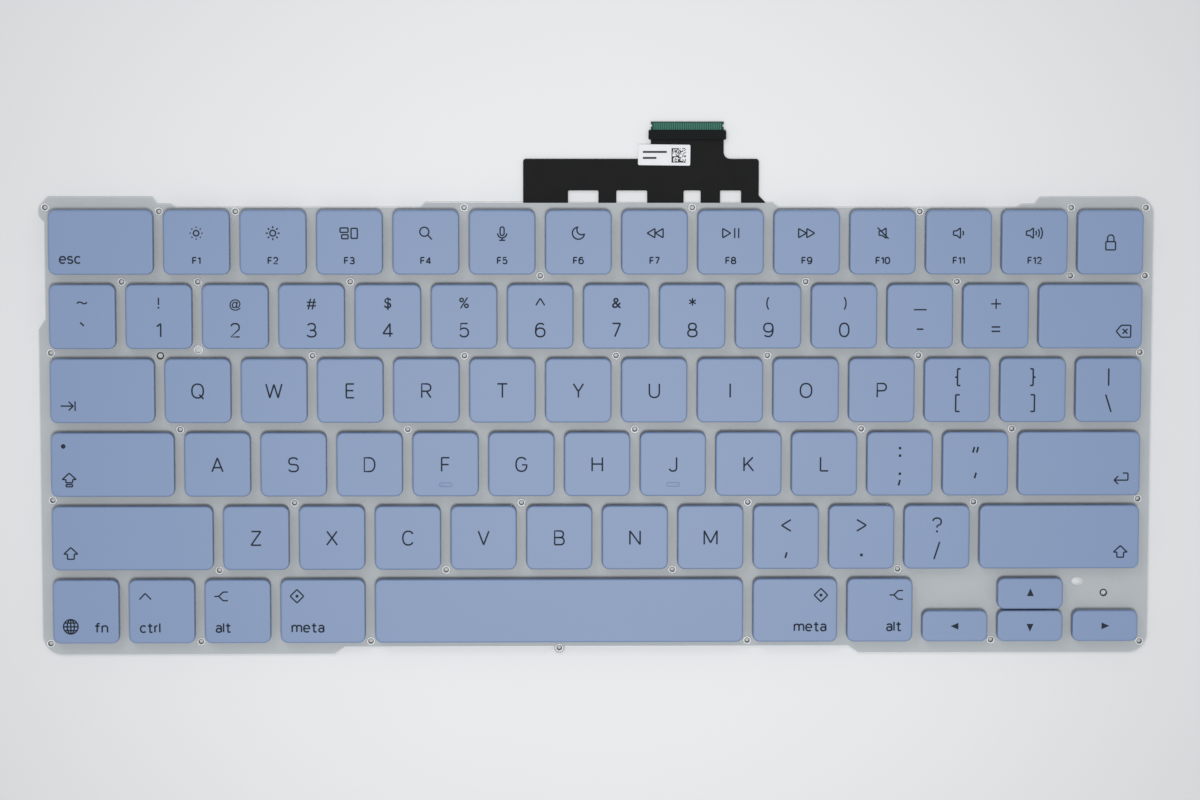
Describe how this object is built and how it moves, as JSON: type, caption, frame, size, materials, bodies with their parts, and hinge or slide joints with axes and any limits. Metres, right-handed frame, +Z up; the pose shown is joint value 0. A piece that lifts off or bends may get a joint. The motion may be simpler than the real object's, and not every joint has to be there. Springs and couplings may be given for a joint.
{
  "type": "laptop replacement keyboard",
  "caption": "Low-profile laptop keyboard module with scissor keys on a stamped plate, a flat black tail and a green contact tongue",
  "frame": {"origin": "on the plate's flat underside, at the middle of the block of keys", "axes": "+X to the right along the rows of keys, +Y to the back where the tail leaves, +Z up through the keycaps"},
  "size_m": [0.2798, 0.1345, 0.0041],
  "materials": {
    "plate": "satin stamped sheet",
    "film": "satin printed film",
    "keycap": "matte periwinkle blue",
    "frame_plastic": "natural moulded",
    "dome_rubber": "translucent silicone",
    "wire": "drawn wire",
    "tail_film": "matte black cover film",
    "contact_board": "green solder mask",
    "label": "blank white label"
  },
  "bodies": {
    "root": {"base_plate": "plate", "membrane_circuit": "film", "rubber_domes": "dome_rubber", "scissor_frames": "frame_plastic", "stabiliser_bars": "wire", "flex_tail": "tail_film", "contact_tongue": "contact_board", "tail_stiffener": "tail_film", "tail_label": "label", "upper_row_keys": "keycap"},
    "cap_tab": {"key_tab": "keycap"},
    "cap_q": {"key_q": "keycap"},
    "cap_w": {"key_w": "keycap"},
    "cap_e": {"key_e": "keycap"},
    "cap_r": {"key_r": "keycap"},
    "cap_t": {"key_t": "keycap"},
    "cap_y": {"key_y": "keycap"},
    "cap_u": {"key_u": "keycap"},
    "cap_i": {"key_i": "keycap"},
    "cap_o": {"key_o": "keycap"},
    "cap_p": {"key_p": "keycap"},
    "cap_left_bracket": {"key_left_bracket": "keycap"},
    "cap_right_bracket": {"key_right_bracket": "keycap"},
    "cap_backslash": {"key_backslash": "keycap"},
    "cap_caps_lock": {"key_caps_lock": "keycap"},
    "cap_a": {"key_a": "keycap"},
    "cap_s": {"key_s": "keycap"},
    "cap_d": {"key_d": "keycap"},
    "cap_f": {"key_f": "keycap"},
    "cap_g": {"key_g": "keycap"},
    "cap_h": {"key_h": "keycap"},
    "cap_j": {"key_j": "keycap"},
    "cap_k": {"key_k": "keycap"},
    "cap_l": {"key_l": "keycap"},
    "cap_semicolon": {"key_semicolon": "keycap"},
    "cap_apostrophe": {"key_apostrophe": "keycap"},
    "cap_return": {"key_return": "keycap"},
    "cap_shift_left": {"key_shift_left": "keycap"},
    "cap_z": {"key_z": "keycap"},
    "cap_x": {"key_x": "keycap"},
    "cap_c": {"key_c": "keycap"},
    "cap_v": {"key_v": "keycap"},
    "cap_b": {"key_b": "keycap"},
    "cap_n": {"key_n": "keycap"},
    "cap_m": {"key_m": "keycap"},
    "cap_comma": {"key_comma": "keycap"},
    "cap_period": {"key_period": "keycap"},
    "cap_slash": {"key_slash": "keycap"},
    "cap_shift_right": {"key_shift_right": "keycap"},
    "cap_fn": {"key_fn": "keycap"},
    "cap_control": {"key_control": "keycap"},
    "cap_alt_left": {"key_alt_left": "keycap"},
    "cap_meta_left": {"key_meta_left": "keycap"},
    "cap_space": {"key_space": "keycap"},
    "cap_meta_right": {"key_meta_right": "keycap"},
    "cap_alt_right": {"key_alt_right": "keycap"},
    "cap_arrow_left": {"key_arrow_left": "keycap"},
    "cap_arrow_down": {"key_arrow_down": "keycap"},
    "cap_arrow_right": {"key_arrow_right": "keycap"},
    "cap_arrow_up": {"key_arrow_up": "keycap"}
  },
  "joints": [
    {"name": "press_tab", "type": "slide", "parent": "root", "child": "cap_tab", "axis": [0, 0, -1], "range_m": [0, 0.001], "stiffness_N_per_m": 500, "springref_m": -0.0004, "deforming": ["rubber_domes", "scissor_frames", "stabiliser_bars"]},
    {"name": "press_q", "type": "slide", "parent": "root", "child": "cap_q", "axis": [0, 0, -1], "range_m": [0, 0.001], "stiffness_N_per_m": 500, "springref_m": -0.0004, "deforming": ["rubber_domes", "scissor_frames"]},
    {"name": "press_w", "type": "slide", "parent": "root", "child": "cap_w", "axis": [0, 0, -1], "range_m": [0, 0.001], "stiffness_N_per_m": 500, "springref_m": -0.0004, "deforming": ["rubber_domes", "scissor_frames"]},
    {"name": "press_e", "type": "slide", "parent": "root", "child": "cap_e", "axis": [0, 0, -1], "range_m": [0, 0.001], "stiffness_N_per_m": 500, "springref_m": -0.0004, "deforming": ["rubber_domes", "scissor_frames"]},
    {"name": "press_r", "type": "slide", "parent": "root", "child": "cap_r", "axis": [0, 0, -1], "range_m": [0, 0.001], "stiffness_N_per_m": 500, "springref_m": -0.0004, "deforming": ["rubber_domes", "scissor_frames"]},
    {"name": "press_t", "type": "slide", "parent": "root", "child": "cap_t", "axis": [0, 0, -1], "range_m": [0, 0.001], "stiffness_N_per_m": 500, "springref_m": -0.0004, "deforming": ["rubber_domes", "scissor_frames"]},
    {"name": "press_y", "type": "slide", "parent": "root", "child": "cap_y", "axis": [0, 0, -1], "range_m": [0, 0.001], "stiffness_N_per_m": 500, "springref_m": -0.0004, "deforming": ["rubber_domes", "scissor_frames"]},
    {"name": "press_u", "type": "slide", "parent": "root", "child": "cap_u", "axis": [0, 0, -1], "range_m": [0, 0.001], "stiffness_N_per_m": 500, "springref_m": -0.0004, "deforming": ["rubber_domes", "scissor_frames"]},
    {"name": "press_i", "type": "slide", "parent": "root", "child": "cap_i", "axis": [0, 0, -1], "range_m": [0, 0.001], "stiffness_N_per_m": 500, "springref_m": -0.0004, "deforming": ["rubber_domes", "scissor_frames"]},
    {"name": "press_o", "type": "slide", "parent": "root", "child": "cap_o", "axis": [0, 0, -1], "range_m": [0, 0.001], "stiffness_N_per_m": 500, "springref_m": -0.0004, "deforming": ["rubber_domes", "scissor_frames"]},
    {"name": "press_p", "type": "slide", "parent": "root", "child": "cap_p", "axis": [0, 0, -1], "range_m": [0, 0.001], "stiffness_N_per_m": 500, "springref_m": -0.0004, "deforming": ["rubber_domes", "scissor_frames"]},
    {"name": "press_left_bracket", "type": "slide", "parent": "root", "child": "cap_left_bracket", "axis": [0, 0, -1], "range_m": [0, 0.001], "stiffness_N_per_m": 500, "springref_m": -0.0004, "deforming": ["rubber_domes", "scissor_frames"]},
    {"name": "press_right_bracket", "type": "slide", "parent": "root", "child": "cap_right_bracket", "axis": [0, 0, -1], "range_m": [0, 0.001], "stiffness_N_per_m": 500, "springref_m": -0.0004, "deforming": ["rubber_domes", "scissor_frames"]},
    {"name": "press_backslash", "type": "slide", "parent": "root", "child": "cap_backslash", "axis": [0, 0, -1], "range_m": [0, 0.001], "stiffness_N_per_m": 500, "springref_m": -0.0004, "deforming": ["rubber_domes", "scissor_frames"]},
    {"name": "press_caps_lock", "type": "slide", "parent": "root", "child": "cap_caps_lock", "axis": [0, 0, -1], "range_m": [0, 0.001], "stiffness_N_per_m": 500, "springref_m": -0.0004, "deforming": ["rubber_domes", "scissor_frames", "stabiliser_bars"]},
    {"name": "press_a", "type": "slide", "parent": "root", "child": "cap_a", "axis": [0, 0, -1], "range_m": [0, 0.001], "stiffness_N_per_m": 500, "springref_m": -0.0004, "deforming": ["rubber_domes", "scissor_frames"]},
    {"name": "press_s", "type": "slide", "parent": "root", "child": "cap_s", "axis": [0, 0, -1], "range_m": [0, 0.001], "stiffness_N_per_m": 500, "springref_m": -0.0004, "deforming": ["rubber_domes", "scissor_frames"]},
    {"name": "press_d", "type": "slide", "parent": "root", "child": "cap_d", "axis": [0, 0, -1], "range_m": [0, 0.001], "stiffness_N_per_m": 500, "springref_m": -0.0004, "deforming": ["rubber_domes", "scissor_frames"]},
    {"name": "press_f", "type": "slide", "parent": "root", "child": "cap_f", "axis": [0, 0, -1], "range_m": [0, 0.001], "stiffness_N_per_m": 500, "springref_m": -0.0004, "deforming": ["rubber_domes", "scissor_frames"]},
    {"name": "press_g", "type": "slide", "parent": "root", "child": "cap_g", "axis": [0, 0, -1], "range_m": [0, 0.001], "stiffness_N_per_m": 500, "springref_m": -0.0004, "deforming": ["rubber_domes", "scissor_frames"]},
    {"name": "press_h", "type": "slide", "parent": "root", "child": "cap_h", "axis": [0, 0, -1], "range_m": [0, 0.001], "stiffness_N_per_m": 500, "springref_m": -0.0004, "deforming": ["rubber_domes", "scissor_frames"]},
    {"name": "press_j", "type": "slide", "parent": "root", "child": "cap_j", "axis": [0, 0, -1], "range_m": [0, 0.001], "stiffness_N_per_m": 500, "springref_m": -0.0004, "deforming": ["rubber_domes", "scissor_frames"]},
    {"name": "press_k", "type": "slide", "parent": "root", "child": "cap_k", "axis": [0, 0, -1], "range_m": [0, 0.001], "stiffness_N_per_m": 500, "springref_m": -0.0004, "deforming": ["rubber_domes", "scissor_frames"]},
    {"name": "press_l", "type": "slide", "parent": "root", "child": "cap_l", "axis": [0, 0, -1], "range_m": [0, 0.001], "stiffness_N_per_m": 500, "springref_m": -0.0004, "deforming": ["rubber_domes", "scissor_frames"]},
    {"name": "press_semicolon", "type": "slide", "parent": "root", "child": "cap_semicolon", "axis": [0, 0, -1], "range_m": [0, 0.001], "stiffness_N_per_m": 500, "springref_m": -0.0004, "deforming": ["rubber_domes", "scissor_frames"]},
    {"name": "press_apostrophe", "type": "slide", "parent": "root", "child": "cap_apostrophe", "axis": [0, 0, -1], "range_m": [0, 0.001], "stiffness_N_per_m": 500, "springref_m": -0.0004, "deforming": ["rubber_domes", "scissor_frames"]},
    {"name": "press_return", "type": "slide", "parent": "root", "child": "cap_return", "axis": [0, 0, -1], "range_m": [0, 0.001], "stiffness_N_per_m": 500, "springref_m": -0.0004, "deforming": ["rubber_domes", "scissor_frames", "stabiliser_bars"]},
    {"name": "press_shift_left", "type": "slide", "parent": "root", "child": "cap_shift_left", "axis": [0, 0, -1], "range_m": [0, 0.001], "stiffness_N_per_m": 500, "springref_m": -0.0004, "deforming": ["rubber_domes", "scissor_frames", "stabiliser_bars"]},
    {"name": "press_z", "type": "slide", "parent": "root", "child": "cap_z", "axis": [0, 0, -1], "range_m": [0, 0.001], "stiffness_N_per_m": 500, "springref_m": -0.0004, "deforming": ["rubber_domes", "scissor_frames"]},
    {"name": "press_x", "type": "slide", "parent": "root", "child": "cap_x", "axis": [0, 0, -1], "range_m": [0, 0.001], "stiffness_N_per_m": 500, "springref_m": -0.0004, "deforming": ["rubber_domes", "scissor_frames"]},
    {"name": "press_c", "type": "slide", "parent": "root", "child": "cap_c", "axis": [0, 0, -1], "range_m": [0, 0.001], "stiffness_N_per_m": 500, "springref_m": -0.0004, "deforming": ["rubber_domes", "scissor_frames"]},
    {"name": "press_v", "type": "slide", "parent": "root", "child": "cap_v", "axis": [0, 0, -1], "range_m": [0, 0.001], "stiffness_N_per_m": 500, "springref_m": -0.0004, "deforming": ["rubber_domes", "scissor_frames"]},
    {"name": "press_b", "type": "slide", "parent": "root", "child": "cap_b", "axis": [0, 0, -1], "range_m": [0, 0.001], "stiffness_N_per_m": 500, "springref_m": -0.0004, "deforming": ["rubber_domes", "scissor_frames"]},
    {"name": "press_n", "type": "slide", "parent": "root", "child": "cap_n", "axis": [0, 0, -1], "range_m": [0, 0.001], "stiffness_N_per_m": 500, "springref_m": -0.0004, "deforming": ["rubber_domes", "scissor_frames"]},
    {"name": "press_m", "type": "slide", "parent": "root", "child": "cap_m", "axis": [0, 0, -1], "range_m": [0, 0.001], "stiffness_N_per_m": 500, "springref_m": -0.0004, "deforming": ["rubber_domes", "scissor_frames"]},
    {"name": "press_comma", "type": "slide", "parent": "root", "child": "cap_comma", "axis": [0, 0, -1], "range_m": [0, 0.001], "stiffness_N_per_m": 500, "springref_m": -0.0004, "deforming": ["rubber_domes", "scissor_frames"]},
    {"name": "press_period", "type": "slide", "parent": "root", "child": "cap_period", "axis": [0, 0, -1], "range_m": [0, 0.001], "stiffness_N_per_m": 500, "springref_m": -0.0004, "deforming": ["rubber_domes", "scissor_frames"]},
    {"name": "press_slash", "type": "slide", "parent": "root", "child": "cap_slash", "axis": [0, 0, -1], "range_m": [0, 0.001], "stiffness_N_per_m": 500, "springref_m": -0.0004, "deforming": ["rubber_domes", "scissor_frames"]},
    {"name": "press_shift_right", "type": "slide", "parent": "root", "child": "cap_shift_right", "axis": [0, 0, -1], "range_m": [0, 0.001], "stiffness_N_per_m": 500, "springref_m": -0.0004, "deforming": ["rubber_domes", "scissor_frames", "stabiliser_bars"]},
    {"name": "press_fn", "type": "slide", "parent": "root", "child": "cap_fn", "axis": [0, 0, -1], "range_m": [0, 0.001], "stiffness_N_per_m": 500, "springref_m": -0.0004, "deforming": ["rubber_domes", "scissor_frames"]},
    {"name": "press_control", "type": "slide", "parent": "root", "child": "cap_control", "axis": [0, 0, -1], "range_m": [0, 0.001], "stiffness_N_per_m": 500, "springref_m": -0.0004, "deforming": ["rubber_domes", "scissor_frames"]},
    {"name": "press_alt_left", "type": "slide", "parent": "root", "child": "cap_alt_left", "axis": [0, 0, -1], "range_m": [0, 0.001], "stiffness_N_per_m": 500, "springref_m": -0.0004, "deforming": ["rubber_domes", "scissor_frames"]},
    {"name": "press_meta_left", "type": "slide", "parent": "root", "child": "cap_meta_left", "axis": [0, 0, -1], "range_m": [0, 0.001], "stiffness_N_per_m": 500, "springref_m": -0.0004, "deforming": ["rubber_domes", "scissor_frames"]},
    {"name": "press_space", "type": "slide", "parent": "root", "child": "cap_space", "axis": [0, 0, -1], "range_m": [0, 0.001], "stiffness_N_per_m": 500, "springref_m": -0.0004, "deforming": ["rubber_domes", "scissor_frames", "stabiliser_bars"]},
    {"name": "press_meta_right", "type": "slide", "parent": "root", "child": "cap_meta_right", "axis": [0, 0, -1], "range_m": [0, 0.001], "stiffness_N_per_m": 500, "springref_m": -0.0004, "deforming": ["rubber_domes", "scissor_frames"]},
    {"name": "press_alt_right", "type": "slide", "parent": "root", "child": "cap_alt_right", "axis": [0, 0, -1], "range_m": [0, 0.001], "stiffness_N_per_m": 500, "springref_m": -0.0004, "deforming": ["rubber_domes", "scissor_frames"]},
    {"name": "press_arrow_left", "type": "slide", "parent": "root", "child": "cap_arrow_left", "axis": [0, 0, -1], "range_m": [0, 0.001], "stiffness_N_per_m": 500, "springref_m": -0.0004, "deforming": ["rubber_domes", "scissor_frames"]},
    {"name": "press_arrow_down", "type": "slide", "parent": "root", "child": "cap_arrow_down", "axis": [0, 0, -1], "range_m": [0, 0.001], "stiffness_N_per_m": 500, "springref_m": -0.0004, "deforming": ["rubber_domes", "scissor_frames"]},
    {"name": "press_arrow_right", "type": "slide", "parent": "root", "child": "cap_arrow_right", "axis": [0, 0, -1], "range_m": [0, 0.001], "stiffness_N_per_m": 500, "springref_m": -0.0004, "deforming": ["rubber_domes", "scissor_frames"]},
    {"name": "press_arrow_up", "type": "slide", "parent": "root", "child": "cap_arrow_up", "axis": [0, 0, -1], "range_m": [0, 0.001], "stiffness_N_per_m": 500, "springref_m": -0.0004, "deforming": ["rubber_domes", "scissor_frames"]}
  ]
}
